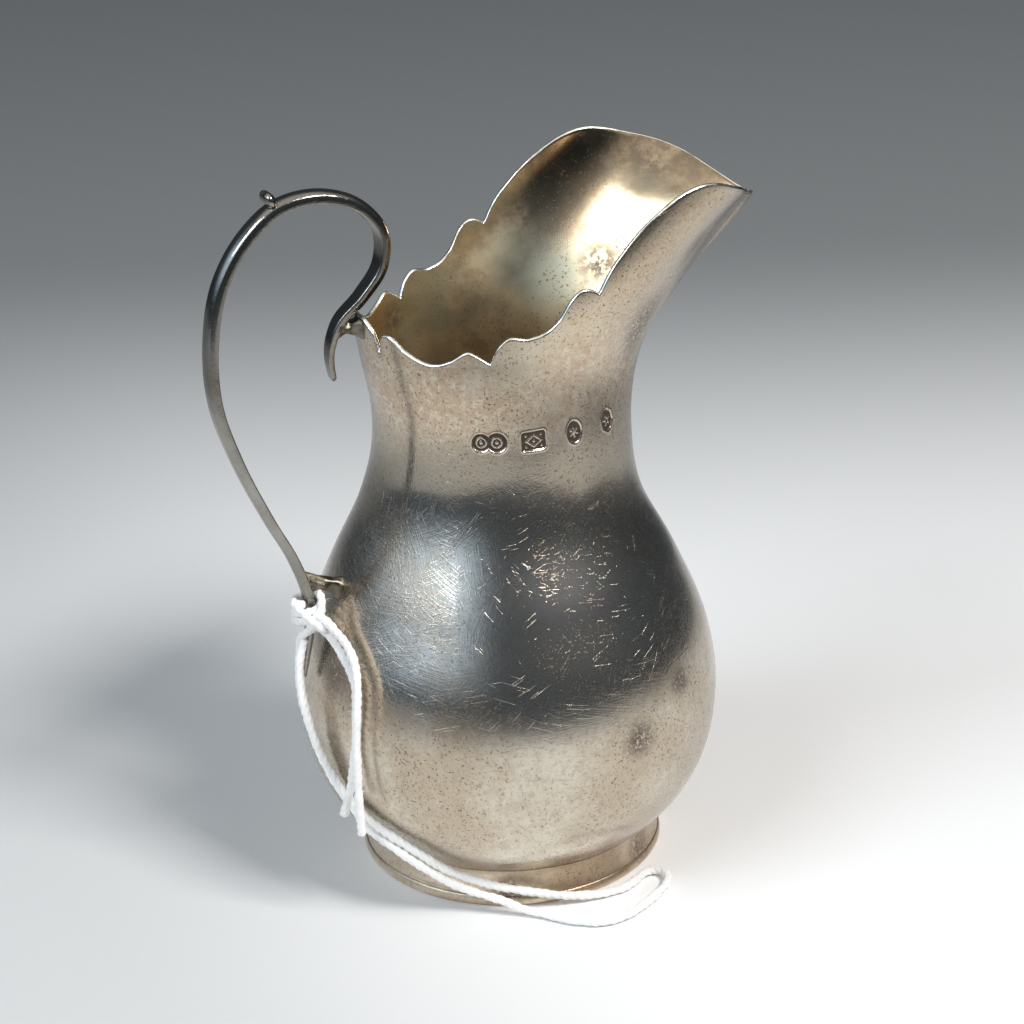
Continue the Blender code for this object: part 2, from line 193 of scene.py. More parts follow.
def unit(vectors):
    return vectors / np.maximum(np.linalg.norm(vectors, axis=-1, keepdims=True), 1e-12)


def wall_radii(degrees, heights):
    """The outer radii of the body in these directions from the spout, at these heights."""
    degrees = np.abs(np.asarray(degrees, float))
    heights = np.broadcast_to(np.asarray(heights, float), degrees.shape)
    radii = curve(BELLY, heights)
    raised = np.flatnonzero(heights > NECK_HEIGHT)
    high = heights[raised]
    turns = np.linspace(0, math.pi, 361)
    towards = turns < math.pi / 2
    plans = [curve(knots, high) for knots in (WIDEST, FRONT, BACK, SIDE, BEAK)]
    for i, widest, front, back, side, beak in zip(raised, *plans):
        x = widest + np.where(towards, front - widest, back + widest) * np.cos(turns)
        y = side * np.sin(turns) ** np.where(towards, 2 * beak, 1.0)
        radii[i] = np.interp(degrees[i], np.degrees(np.arctan2(y, x)), np.hypot(x, y))
    return radii


def wall_points(degrees, heights):
    """Points of the outer surface in these directions, at these heights."""
    degrees = np.asarray(degrees, float)
    radii = wall_radii(degrees, heights)
    turns = np.radians(degrees)
    heights = np.broadcast_to(np.asarray(heights, float), degrees.shape)
    return np.column_stack([AXIS_X + radii * np.cos(turns), radii * np.sin(turns), heights])


def rim_height(degrees):
    """The height of the rim in this direction."""
    away = min(abs(degrees), 180.0)
    lobe = next(lobe for lobe in RIM if away <= lobe[-1][0] + 1e-9)
    lean = math.copysign(float(curve(RIM_LEAN, away)), degrees)
    return float(curve(lobe, away)) + lean


def add(name, data):
    """A new object of the scene with this mesh, light or camera."""
    made = bpy.data.objects.new(name, data)
    bpy.context.scene.collection.objects.link(made)
    return made


def mesh_piece(name, points, faces, looks, face_looks=None, uvs=None):
    """A smooth mesh piece from points in millimetres. uvs, if given, holds one pair for each face corner."""
    mesh = bpy.data.meshes.new(name)
    mesh.from_pydata((np.asarray(points, float) * MM).tolist(), [], faces)
    for look in looks:
        mesh.materials.append(look)
    if face_looks is not None:
        mesh.polygons.foreach_set("material_index", np.asarray(face_looks, np.int32))
    if uvs is not None:
        layer = mesh.uv_layers.new(name="lay")
        layer.data.foreach_set("uv", np.asarray(uvs, np.float32).ravel())
    mesh.shade_smooth()
    return add(name, mesh)


def grid_faces(rows, size, closed_rows=False):
    """Four-sided faces between rows of size points, each row a closed ring following the one before."""
    faces = []
    for row in range(rows if closed_rows else rows - 1):
        here = row * size
        there = (row + 1) % rows * size
        for i in range(size):
            after = (i + 1) % size
            faces.append((here + i, here + after, there + after, there + i))
    return faces


def grid_uvs(rows, size, across, along):
    """The face corners' (across, along) for grid_faces: size + 1 values across, one along for each row."""
    uvs = []
    for row in range(rows - 1):
        low = along[row]
        high = along[row + 1]
        for i in range(size):
            uvs += [(across[i], low), (across[i + 1], low), (across[i + 1], high), (across[i], high)]
    return uvs


def tube_piece(name, rings, look, girth=None, along=None):
    """A tube through rings of points, closed at both ends. girth, if given, is the width of its flat
    coordinates, and along has each ring's place on them."""
    count, size = len(rings), len(rings[0])
    faces = grid_faces(count, size)
    faces.append(tuple(reversed(range(size))))
    faces.append(tuple(range((count - 1) * size, count * size)))
    uvs = None
    if girth is not None:
        uvs = grid_uvs(count, size, np.linspace(0, girth, size + 1) * MM, np.asarray(along) * MM)
        uvs += [(0.0, 0.0)] * (2 * size)
    return mesh_piece(name, np.concatenate(rings), faces, [look], uvs=uvs)


def place(piece, slot, *nodes):
    """Puts a piece on the body, in place of its CAD nodes."""
    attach(piece, BODY)
    if nodes:
        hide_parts(*nodes)
    return piece


# ---- materials


def join(tree, value, socket):
    """Sets a node's input to another node's output, or to a plain value."""
    if isinstance(value, bpy.types.NodeSocket):
        tree.links.new(value, socket)
    else:
        socket.default_value = value


class Nodes:
    """A node tree. Its methods add a node and return its output."""

    def __init__(self, tree):
        self.tree = tree

    def node(self, kind, inputs=(), **settings):
        made = self.tree.nodes.new(kind)
        for key, value in settings.items():
            setattr(made, key, value)
        for key, value in dict(inputs).items():
            join(self.tree, value, made.inputs[key])
        return made

    def math(self, operation, *values):
        return self.node("ShaderNodeMath", enumerate(values), operation=operation).outputs[0]

    def vector(self, operation, *values):
        """The node of a sum on vectors, whose output is "Vector" or "Value"."""
        return self.node("ShaderNodeVectorMath", enumerate(values), operation=operation)

    def plus(self, first, second):
        return self.math("ADD", first, second)

    def times(self, *values):
        result = values[0]
        for value in values[1:]:
            result = self.math("MULTIPLY", result, value)
        return result

    def most(self, *values):
        result = values[0]
        for value in values[1:]:
            result = self.math("MAXIMUM", result, value)
        return result

    def ramp(self, value, low, high, bottom=0.0, top=1.0):
        """value from low to high, brought smoothly to between bottom and top."""
        inputs = {"Value": value, "From Min": low, "From Max": high, "To Min": bottom, "To Max": top}
        return self.node("ShaderNodeMapRange", inputs, interpolation_type="SMOOTHSTEP").outputs["Result"]

    def mix(self, share, first, second):
        """A colour between two colours."""
        made = self.node("ShaderNodeMix", {0: share}, data_type="RGBA")
        for key, value in ((6, first), (7, second)):
            colour = value if isinstance(value, bpy.types.NodeSocket) else (*value, 1)
            join(self.tree, colour, made.inputs[key])
        return made.outputs[2]

    def split(self, vector):
        return self.node("ShaderNodeSeparateXYZ", {"Vector": vector}).outputs


class Look(Nodes):
    """A material whose shader's inputs come from nodes."""

    def __init__(self, name, metallic):
        self.material = bpy.data.materials.new(name)
        self.material.use_nodes = True
        super().__init__(self.material.node_tree)
        self.shader = self.tree.nodes["Principled BSDF"]
        self.set("Metallic", metallic)

    def set(self, key, value):
        join(self.tree, value, self.shader.inputs[key])

    def position(self):
        return self.node("ShaderNodeTexCoord").outputs["Object"]

    def lay(self):
        """The surface's own flat coordinates, in metres."""
        return self.node("ShaderNodeUVMap", uv_map="lay").outputs["UV"]

    def noise(self, where, scale, detail=3.0, roughness=0.55):
        """Noise between 0 and 1, scale waves to the metre."""
        inputs = {"Vector": where, "Scale": scale, "Detail": detail, "Roughness": roughness}
        return self.node("ShaderNodeTexNoise", inputs).outputs["Fac"]

    def turned(self, where, degrees, stretch):
        """Flat coordinates turned by degrees, with their first axis scaled by stretch."""
        turn = self.node("ShaderNodeMapping", {"Vector": where, "Rotation": (0, 0, math.radians(degrees))})
        return self.stretched(turn.outputs[0], stretch)

    def stretched(self, where, stretch):
        return self.node("ShaderNodeMapping", {"Vector": where, "Scale": (stretch, 1, 1)}).outputs[0]

    def strokes(self, where, cells, fineness):
        """Fine straight lines between 0 and 1, which lie another way in each cell, cells to the metre."""
        cell = self.node("ShaderNodeTexVoronoi", {"Vector": where, "Scale": cells})
        spin = self.times(self.split(cell.outputs["Color"])[0], 2 * math.pi)
        turn = self.node("ShaderNodeVectorRotate", {"Vector": where, "Angle": spin}, rotation_type="Z_AXIS")
        long = self.stretched(turn.outputs[0], STROKE_STRETCH)
        return self.noise(long, fineness, detail=1.0, roughness=0.4)

    def polished(self, where, fineness):
        """A height of fine lines in every direction, from polishing."""
        height = 0.0
        for cells, finer in POLISH_LAYERS:
            lines = self.ramp(self.strokes(where, cells, finer * fineness), 0.5, 0.66)
            height = self.plus(height, self.times(lines, POLISH_SHARE))
        return height

    def scratches(self, where, cells, fineness, limit):
        """Single deeper lines: the higher the limit, the fewer there are."""
        return self.ramp(self.strokes(where, cells, fineness), limit, limit + 0.04)

    def spot(self, where, centre, radius):
        """1 at a point on the object and 0 at radius from it."""
        away = self.vector("DISTANCE", where, [value * MM for value in centre]).outputs["Value"]
        return self.ramp(away, radius * MM, 0.15 * radius * MM)

    def bump(self, height, distance, strength=1.0, normal=None):
        """A normal bent by height, which is distance millimetres where height is 1."""
        inputs = {"Height": height, "Distance": distance * MM, "Strength": strength}
        if normal is not None:
            inputs["Normal"] = normal
        return self.node("ShaderNodeBump", inputs).outputs[0]


# Strokes are this much narrower than long. Each layer of polish has (cells to the metre, relative fineness)
STROKE_STRETCH = 0.03
POLISH_LAYERS = [(120.0, 0.9), (165.0, 1.0), (215.0, 1.1), (270.0, 0.95)]
POLISH_SHARE = 0.3
POLISH_FINENESS = 4800.0
POLISH_DEPTH = 0.021
# Single scratches: (cells to the metre, fineness, limit)
SCRATCHES = [(130.0, 6000.0, 0.71), (210.0, 6600.0, 0.7)]
WORN_DEPTH = 0.04
PIT_DEPTH = 0.008
# The second gloss that fine wear gives: its index and its roughness
WEAR_INDEX = 1.75
WEAR_ROUGHNESS = 0.45

# Heights in metres over which the outside's finish changes, and the colours above the belly
BELLY_START = (0.026, 0.036)
BELLY_END = (0.056, 0.05)
DULL_BELOW = (0.037, 0.027)
DULL_ABOVE = (0.056, 0.066)
NECK_START = (0.05, 0.06)
RUST_START = (0.056, 0.07)
LIP_START = (0.066, 0.086)
NECK_COLOUR = (0.7, 0.61, 0.47)
RUST_COLOUR = (0.42, 0.27, 0.15)
LIP_COLOUR = (0.52, 0.41, 0.27)


def silver(name, clean, film, stains, warmth, rough=(0.06, 0.13), wear=1.0, upper=0.0):
    """Worn silver between the colours clean and film, with pits and stains of the colour warmth.

    stains holds (point, radius), wear is how worn it is, and upper is how brown the lip's outside gets.
    """
    look = Look(name, 1.0)
    where = look.position()
    lay = look.lay()
    cloud = look.noise(where, 85.0, detail=4.0, roughness=0.6)
    patches = look.noise(where, 33.0, detail=5.0, roughness=0.65)
    grain = look.noise(where, 1100.0, detail=4.0, roughness=0.7)
    specks = look.noise(where, 2900.0, detail=2.0, roughness=0.6)
    mottle = look.ramp(grain, 0.42, 0.7)
    colour = look.mix(look.ramp(cloud, 0.36, 0.64), clean, film)
    colour = look.mix(look.times(look.ramp(patches, 0.46, 0.62), 0.6), colour, film)
    colour = look.mix(look.times(mottle, 0.4 * wear), colour, tuple(0.6 * value for value in film))

    pits = look.times(look.ramp(specks, 0.59, 0.66), look.ramp(cloud, 0.38, 0.6, 0.3, 1.0))
    dark = look.times(pits, 0.8 * wear)
    for centre, radius in stains:
        near = look.spot(where, centre, radius)
        ragged = look.times(near, look.ramp(grain, 0.38, 0.56))
        dotted = look.times(near, look.ramp(specks, 0.44, 0.5))
        dark = look.most(dark, look.times(ragged, 0.6), look.times(dotted, 0.95))
    even = look.ramp(cloud, 0.3, 0.7, *rough)
    polish = look.times(look.polished(lay, POLISH_FINENESS), look.ramp(patches, 0.4, 0.6, 0.5, 1.0))
    if upper:
        height = look.split(where)[2]
        belly = look.times(look.ramp(height, *BELLY_START), look.ramp(height, *BELLY_END))
        polish = look.times(polish, look.ramp(belly, 0.0, 1.0, 0.25, 1.0))
        colour = look.mix(look.times(look.ramp(height, *NECK_START), 0.7), colour, NECK_COLOUR)
        rusty = look.times(look.ramp(height, *RUST_START), look.ramp(patches, 0.38, 0.56))
        rusty = look.times(rusty, look.ramp(grain, 0.34, 0.56))
        colour = look.mix(look.times(rusty, 0.75), colour, RUST_COLOUR)
        colour = look.mix(look.times(look.ramp(height, *LIP_START), upper), colour, LIP_COLOUR)
        even = look.plus(even, look.ramp(height, *DULL_BELOW, 0.0, 0.12))
        even = look.plus(even, look.ramp(height, *DULL_ABOVE, 0.0, 0.1))
    colour = look.mix(dark, colour, warmth)

    lines = look.times(look.most(*[look.scratches(lay, *scratch) for scratch in SCRATCHES]), wear)
    even = look.plus(even, look.times(lines, 0.12))
    even = look.plus(even, look.times(dark, 0.3))
    look.set("Base Color", colour)
    look.set("Roughness", even)
    worn = look.bump(look.plus(cloud, patches), WORN_DEPTH, strength=0.5)
    polished = look.bump(polish, POLISH_DEPTH * wear, normal=worn)
    sunk = look.math("SUBTRACT", 0.0, look.most(dark, lines))
    look.set("Normal", look.bump(sunk, PIT_DEPTH, normal=polished))
    # A weak second gloss, for the haze that fine wear spreads round each light
    look.set("Coat Weight", wear)
    look.set("Coat IOR", WEAR_INDEX)
    look.set("Coat Roughness", WEAR_ROUGHNESS)
    return look.material


# Stains on the body, as (degrees from the spout, height, radius)
OUTER_STAINS = [
    (-76.6, 25.0, 3.6), (-58.6, 29.9, 2.8), (-35.0, 74.0, 7.0), (-25.0, 83.0, 5.0),
    (-168.0, 32.0, 4.0), (95.0, 24.0, 5.0), (60.0, 60.0, 6.0), (140.0, 35.0, 4.0),
]
INNER_STAINS = [(25, 76, 4.0), (21, 87.5, 4.0), (122, 71, 3.0), (60, 82, 3.5)]


def wall_spots(stains):
    return [(wall_points([degrees], [height])[0], radius) for degrees, height, radius in stains]


def outside_silver():
    clean, film, warmth = (0.6, 0.54, 0.44), (0.46, 0.37, 0.26), (0.1, 0.06, 0.035)
    return silver("tarnished_silver", clean, film, wall_spots(OUTER_STAINS), warmth, upper=0.6)


def inside_silver():
    """Gilt-brown tarnish with a greenish veil. Low down and away from the spout it is duller and painted
    lighter, for bounced light; at the back an orange-brown patch is painted lighter, for warm light.
    """
    look = Look("gilt_tarnish_inside", 1.0)
    where = look.position()
    cloud = look.noise(where, 70.0, detail=4.0, roughness=0.6)
    veil = look.noise(where, 48.0, detail=3.0)
    grain = look.noise(where, 900.0, detail=4.0, roughness=0.7)
    specks = look.noise(where, 2600.0, detail=2.0, roughness=0.6)
    x, _, height = look.split(where)
    # Low down and away from the spout: rougher, and painted lighter for the light bounced inside the jug
    deep = look.most(look.ramp(height, 0.083, 0.071), look.ramp(x, 0.017, 0.007))
    colour = look.mix(look.ramp(cloud, 0.35, 0.65), (0.58, 0.45, 0.3), (0.34, 0.24, 0.15))
    # Painted light: the deep part's colour is lifted towards a light gilt
    colour = look.mix(look.times(deep, 0.7), colour, (0.82, 0.66, 0.42))
    colour = look.mix(look.ramp(veil, 0.47, 0.6, 0.0, 0.7), colour, (0.36, 0.37, 0.28))
    brown = look.noise(where, 120.0, detail=5.0, roughness=0.7)
    colour = look.mix(look.ramp(brown, 0.5, 0.64, 0.0, 0.45), colour, (0.3, 0.2, 0.12))
    streaks = look.noise(where, 160.0, detail=6.0, roughness=0.75)
    rim = look.times(look.ramp(height, 0.082, 0.09), look.ramp(streaks, 0.4, 0.58))
    colour = look.mix(look.times(rim, 0.75), colour, (0.2, 0.16, 0.12))
    # Painted warm light: a lighter orange-brown patch on the inner back wall
    back = look.spot(where, *wall_spots([(150, 73.0, 11.0)])[0])
    colour = look.mix(look.times(back, 0.8), colour, (0.62, 0.38, 0.2))
    dark = look.times(look.ramp(specks, 0.6, 0.68), look.ramp(cloud, 0.4, 0.62))
    for centre, radius in wall_spots(INNER_STAINS):
        near = look.spot(where, centre, radius)
        dark = look.most(dark, look.times(near, look.ramp(grain, 0.4, 0.56), 0.8))
    colour = look.mix(dark, colour, (0.12, 0.08, 0.06))
    rough = look.plus(look.ramp(cloud, 0.3, 0.7, 0.12, 0.24), look.times(dark, 0.25))
    rough = look.plus(rough, look.times(deep, 0.22))
    look.set("Base Color", colour)
    look.set("Roughness", rough)
    look.set("Normal", look.bump(look.plus(cloud, look.times(grain, 0.15)), 0.06, strength=0.5))
    return look.material


def edge_silver():
    look = Look("rim_edge_silver", 1.0)
    where = look.position()
    worn = look.noise(where, 600.0, detail=3.0)
    look.set("Base Color", look.mix(look.ramp(worn, 0.5, 0.7), (0.9, 0.88, 0.82), (0.5, 0.44, 0.34)))
    look.set("Roughness", look.ramp(worn, 0.3, 0.7, 0.16, 0.4))
    return look.material


def punch_ground():
    look = Look("mark_ground", 0.6)
    where = look.position()
    worn = look.noise(where, 2500.0, detail=3.0)
    look.set("Base Color", look.mix(worn, (0.05, 0.04, 0.035), (0.11, 0.08, 0.06)))
    look.set("Roughness", look.ramp(worn, 0.3, 0.7, 0.5, 0.7))
    return look.material


def foot_silver():
    stains = [((12.0, -16.0, 3.0), 4.0), ((-8.0, -18.0, 2.0), 3.0), ((20.0, 4.0, 3.0), 4.0)]
    clean, film, warmth = (0.7, 0.58, 0.42), (0.5, 0.36, 0.22), (0.16, 0.1, 0.06)
    return silver("foot_silver", clean, film, stains, warmth, (0.28, 0.4))


def handle_silver():
    stains = [((-36.0, 0.0, 72.0), 3.0), ((-20.0, 0.0, 90.0), 3.0)]
    clean, film, warmth = (0.31, 0.295, 0.265), (0.22, 0.205, 0.175), (0.1, 0.08, 0.06)
    return silver("handle_silver", clean, film, stains, warmth, (0.06, 0.14), 0.4)


def solder_look():
    look = Look("old_solder", 1.0)
    where = look.position()
    lumps = look.noise(where, 900.0, detail=3.0)
    look.set("Base Color", look.mix(look.ramp(lumps, 0.35, 0.65), (0.12, 0.11, 0.09), (0.27, 0.24, 0.18)))
    look.set("Roughness", look.ramp(lumps, 0.3, 0.7, 0.3, 0.55))
    look.set("Normal", look.bump(lumps, 0.12))
    return look.material


def cotton_look():
    look = Look("cotton_string", 0.0)
    lay = look.lay()
    where = look.position()
    fibres = look.noise(look.turned(lay, 55, 0.12), 9000.0, detail=3.0)
    cloud = look.noise(where, 300.0, detail=2.0)
    colour = look.mix(look.ramp(fibres, 0.3, 0.7), (0.93, 0.93, 0.92), (0.99, 0.99, 0.98))
    look.set("Base Color", look.mix(look.ramp(cloud, 0.5, 0.8, 0.0, 0.25), colour, (0.86, 0.85, 0.82)))
    look.set("Roughness", 0.9)
    look.set("Normal", look.bump(fibres, 0.05))
    look.set("Sheen Weight", 0.3)
    return look.material


# ---- the camera


def make_camera():
    azimuth = math.radians(CAMERA_AZIMUTH)
    elevation = math.radians(CAMERA_ELEVATION)
    level = math.cos(elevation)
    back = Vector((math.sin(azimuth) * level, -math.cos(azimuth) * level, math.sin(elevation)))
    camera = add("camera", bpy.data.cameras.new("camera"))
    camera.data.lens = CAMERA_LENS
    camera.data.clip_start = 0.01
    camera.location = (Vector(CAMERA_TARGET) + back * CAMERA_DISTANCE) * MM
    camera.rotation_mode = "QUATERNION"
    camera.rotation_quaternion = (-back).to_track_quat("-Z", "Y")
    camera.rotation_quaternion @= Quaternion((0, 0, 1), math.radians(CAMERA_ROLL))
    bpy.context.scene.camera = camera


# ---- the string


def frames(line):
    """Unit vectors along, across and above the line at each point, carried along it without twisting."""
    along = unit(np.gradient(line, axis=0))
    side = np.cross(along[0], (0.0, 0.0, 1.0))
    if np.linalg.norm(side) < 0.1:
        side = np.cross(along[0], (0.0, 1.0, 0.0))
    sides = []
    for forward in along:
        side = side - forward * np.dot(side, forward)
        side = side / np.linalg.norm(side)
        sides.append(side)
    sides = np.array(sides)
    return along, sides, np.cross(along, sides)


YARN_PLIES = 3
YARN_PITCH = 3.4
YARN_GROOVE = 0.22
YARN_SIDES = 18
YARN_STEP = 0.22
YARN_SWELL = 1.06
YARN_END = 0.45


def yarn(name, route, look, diameter=STRING_DIAMETER):
    """A twisted string of three plies along the route, with rounded ends, as one closed mesh."""
    line = smooth_line(route, YARN_STEP)
    line[:, 0] += AXIS_X
    count = len(line)
    _, side, above = frames(line)
    along = np.arange(count) * YARN_STEP
    turns = np.linspace(0, 2 * math.pi, YARN_SIDES, endpoint=False)
    end = np.minimum(along, along[::-1]) / (YARN_END * diameter)
    taper = np.sqrt(np.clip(1 - (1 - np.clip(end, 0.04, 1)) ** 2, 0, 1))
    uneven = 1 + 0.06 * np.sin(along * 0.9) + 0.05 * np.sin(along * 2.3 + 1.0)
    rings = []
    for i in range(count):
        twist = 2 * math.pi * along[i] / YARN_PITCH
        lobes = 1 - YARN_GROOVE + YARN_GROOVE * np.abs(np.cos(YARN_PLIES / 2 * (turns - twist)))
        radius = diameter / 2 * YARN_SWELL * lobes * taper[i] * uneven[i]
        outward = np.cos(turns)[:, None] * side[i] + np.sin(turns)[:, None] * above[i]
        rings.append(line[i] + radius[:, None] * outward)
    return tube_piece(name, rings, look, math.pi * diameter, along), line


# The knot: its wraps round the handle, and the two strands that cross over them
KNOT_X = -27.3
WRAP_TURNS = 3
WRAP_SIZE = (1.62, 2.2)
WRAP_HEIGHTS = (37.15, 40.7)
WRAP_START = -2.2
WRAP_WAVE = 0.25
KNOT_STRANDS = [
    [
        (-29.0, -1.3, 36.2), (-28.7, -2.4, 37.0), (-28.0, -3.2, 38.0), (-27.2, -3.4, 39.1),
        (-26.4, -2.8, 40.3), (-25.9, -1.4, 41.1), (-26.1, 0.3, 41.3),
    ],
    [
        (-26.4, -4.3, 37.6), (-27.0, -4.4, 38.2), (-27.8, -4.1, 38.9), (-28.7, -3.1, 39.8),
        (-29.3, -1.6, 40.5), (-29.2, 0.0, 40.9),
    ],
]


def wrap_route():
    """The wraps round the handle, as a flattened helix."""
    low, high = WRAP_HEIGHTS
    route = []
    for turn in np.linspace(0, 2 * math.pi * WRAP_TURNS, 12 * WRAP_TURNS + 1):
        share = turn / (2 * math.pi * WRAP_TURNS)
        x = KNOT_X + WRAP_SIZE[0] * math.cos(turn + WRAP_START)
        y = WRAP_SIZE[1] * math.sin(turn + WRAP_START)
        route.append((x, y, low + (high - low) * share + WRAP_WAVE * math.sin(turn)))
    return route


def make_knot(look):
    """The knot's wraps and crossing strands, each a length of the same yarn."""
    wraps, wraps_line = yarn("string_knot_wraps", wrap_route(), look, 0.98 * STRING_DIAMETER)
    place(wraps, "cotton_string", "string_knot")
    strands = [wraps]
    lines = [wraps_line]
    for number, route in enumerate(KNOT_STRANDS, 1):
        strand, line = yarn(f"string_knot_strand_{number}", route, look, 0.95 * STRING_DIAMETER)
        strands.append(place(strand, "cotton_string", "string_knot"))
        lines.append(line)
    return strands, lines


FIBRES_PER_MM = 5.0
FIBRE_STEPS = 4
FIBRE_WIDTH = 0.045
FIBRE_ROOT = 0.42
FIBRE_LOWEST = 0.02


def line_length(line):
    return float(np.linalg.norm(np.diff(line, axis=0), axis=1).sum())


def make_fuzz(lines, look):
    """Loose fibres that stand off the yarn, each a thin tapering curl."""
    random = np.random.default_rng(7)
    points, faces = [], []
    for line in lines:
        along, side, above = frames(line)
        for _ in range(int(line_length(line) * FIBRES_PER_MM)):
            i = int(random.integers(2, len(line) - 2))
            turn = random.uniform(0, 2 * math.pi)
            out = math.cos(turn) * side[i] + math.sin(turn) * above[i]
            lean = along[i] * random.uniform(-1.0, 1.0)
            curl = np.cross(out, along[i]) * random.uniform(-0.6, 0.6)
            reach = random.uniform(0.2, 0.6) + 1.1 * random.random() ** 5
            start = line[i] + out * STRING_DIAMETER * FIBRE_ROOT
            for step in range(FIBRE_STEPS + 1):
                share = step / FIBRE_STEPS
                middle = start + reach * (out * (share - 0.35 * share**2) + lean * share + curl * share**2)
                width = FIBRE_WIDTH * (1 - 0.8 * share)
                for corner in range(3):
                    angle = 2 * math.pi * corner / 3
                    spread = math.cos(angle) * along[i] + math.sin(angle) * np.cross(out, along[i])
                    points.append(middle + width / 2 * spread)
            first = len(points) - 3 * (FIBRE_STEPS + 1)
            for step in range(FIBRE_STEPS):
                here = first + 3 * step
                for corner in range(3):
                    after = (corner + 1) % 3
                    faces.append((here + corner, here + after, here + 3 + after, here + 3 + corner))
            faces.append((first + 2, first + 1, first))
            faces.append((len(points) - 3, len(points) - 2, len(points) - 1))
    points = np.array(points)
    points[:, 2] = np.maximum(points[:, 2], FIBRE_LOWEST)
    return place(mesh_piece("string_fibres", points, faces, [look]), "cotton_string")


def declare_cord(piece, line, node, with_pieces=()):
    """Places a string on the body, in place of its CAD node."""
    place(piece, "cotton_string", node)
    line_length(line) * MM


def make_string(look):
    """The ticket string: a loop that hangs from the knot and lies round the foot, and two cut tails."""
    loop, loop_line = yarn("string_loop_yarn", STRING_LOOP, look)
    short, short_line = yarn("string_tail_short_yarn", TAIL_SHORT, look)
    long, long_line = yarn("string_tail_long_yarn", TAIL_LONG, look)
    knot, knot_lines = make_knot(look)
    fibres = make_fuzz([loop_line, short_line, long_line, *knot_lines], look)
    declare_cord(loop, loop_line, "string_loop", [*knot, fibres])
    declare_cord(short, short_line, "string_tail_short")
    declare_cord(long, long_line, "string_tail_long")


# ---- the body


def body_columns():
    """Directions once round from the spout, in degrees, with one on each cusp of the rim."""
    half = [0.0]
    for lobe in RIM:
        first, last = lobe[0][0], lobe[-1][0]
        count = math.ceil((last - first) / COLUMN_STEP)
        half += [float(degrees) for degrees in np.linspace(first, last, count + 1)[1:]]
    return np.array(half + [-degrees for degrees in half[-2:0:-1]])


def level_rows():
    """Heights of the body's level rows, from the joint with the foot to above the marks."""
    low = np.linspace(JOINT_HEIGHT, NECK_LEVEL, math.ceil((NECK_LEVEL - JOINT_HEIGHT) / BELLY_ROW_STEP) + 1)
    high = np.linspace(NECK_LEVEL, MARK_TOP, math.ceil((MARK_TOP - NECK_LEVEL) / MARK_ROW_STEP) + 1)
    return np.concatenate([low, high[1:]])


def outer_grid(columns):
    """The outer surface as rows of points, from the middle of the underside to just below the rim."""
    turn = np.radians(columns)
    rows = []
    for radius, height in BOTTOM:
        ring = [AXIS_X + radius * np.cos(turn), radius * np.sin(turn), np.full(turn.shape, height)]
        rows.append(np.column_stack(ring))
    for height in level_rows():
        rows.append(wall_points(columns, height))
    rims = np.array([rim_height(degrees) for degrees in columns]) - EDGE_HEIGHT
    for row in range(1, LIP_ROWS + 1):
        # Rows lie closer together towards the rim
        share = 1 - (1 - row / LIP_ROWS) ** LIP_CROWDING
        rows.append(wall_points(columns, MARK_TOP + (rims - MARK_TOP) * share))
    return np.array(rows)


def grid_normals(grid):
    """Outward unit normals of a grid of closed rows, and the unit directions from row to row."""
    across = np.roll(grid, -1, axis=1) - np.roll(grid, 1, axis=1)
    along = np.gradient(grid, axis=0)
    return unit(np.cross(across, along)), unit(along)


def make_body(looks):
    """The raised body: outer wall, rounded rim edge and inner wall, with the marks punched in the neck."""
    columns = body_columns()
    outer = outer_grid(columns)
    normals, rises = grid_normals(outer)
    keep = sorted(set(range(0, len(outer), INNER_STRIDE)) | {len(outer) - 1})
    inner = outer[keep] - WALL * normals[keep]
    middle = (outer[-1] + inner[-1]) / 2
    half = (outer[-1] - inner[-1]) / 2
    edge = []
    for step in range(1, EDGE_STEPS):
        turn = math.pi * step / EDGE_STEPS
        edge.append(middle + math.cos(turn) * half + math.sin(turn) * EDGE_HEIGHT * rises[-1])
    rings = np.concatenate([outer, np.array(edge), inner[::-1]])
    rows, size = rings.shape[:2]
    faces = grid_faces(rows, size)
    outer_rows = len(outer) - 1
    inner_rows = rows - 1 - outer_rows - EDGE_STEPS
    kinds = np.repeat([OUTSIDE, RIM_EDGE, INSIDE], [outer_rows, EDGE_STEPS, inner_rows])
    face_looks = np.repeat(kinds, size).tolist()
    span = np.linalg.norm(np.diff(rings, axis=0), axis=2).mean(axis=1)
    along = np.concatenate([[0], np.cumsum(span)]) * MM
    across = np.radians(np.concatenate([np.mod(columns, 360.0), [360.0]])) * LAY_RADIUS * MM
    uvs = grid_uvs(rows, size, across, along)
    low = BOTTOM[0][1]
    points = np.concatenate([rings.reshape(-1, 3), [(AXIS_X, 0, low), (AXIS_X, 0, low + WALL)]])
    below = len(points) - 2
    last = (rows - 1) * size
    for i in range(size):
        after = (i + 1) % size
        faces.append((below, after, i))
        faces.append((below + 1, last + i, last + after))
        face_looks += [OUTSIDE, INSIDE]
        uvs += [(0.0, 0.0)] * 6
    piece = mesh_piece("jug_body", points, faces, looks, face_looks, uvs)
    punch_marks(piece)
    place(piece, "body_silver", "body")


def mark_place(mark, degrees, height):
    """A point's place on the surface from the middle of a mark, along the mark and up it."""
    middle, level, _, _, tilt = mark[:5]
    across = math.radians(degrees - middle) * MARK_RADIUS
    up = height - level
    turn = math.radians(tilt)
    return across * math.cos(turn) + up * math.sin(turn), up * math.cos(turn) - across * math.sin(turn)


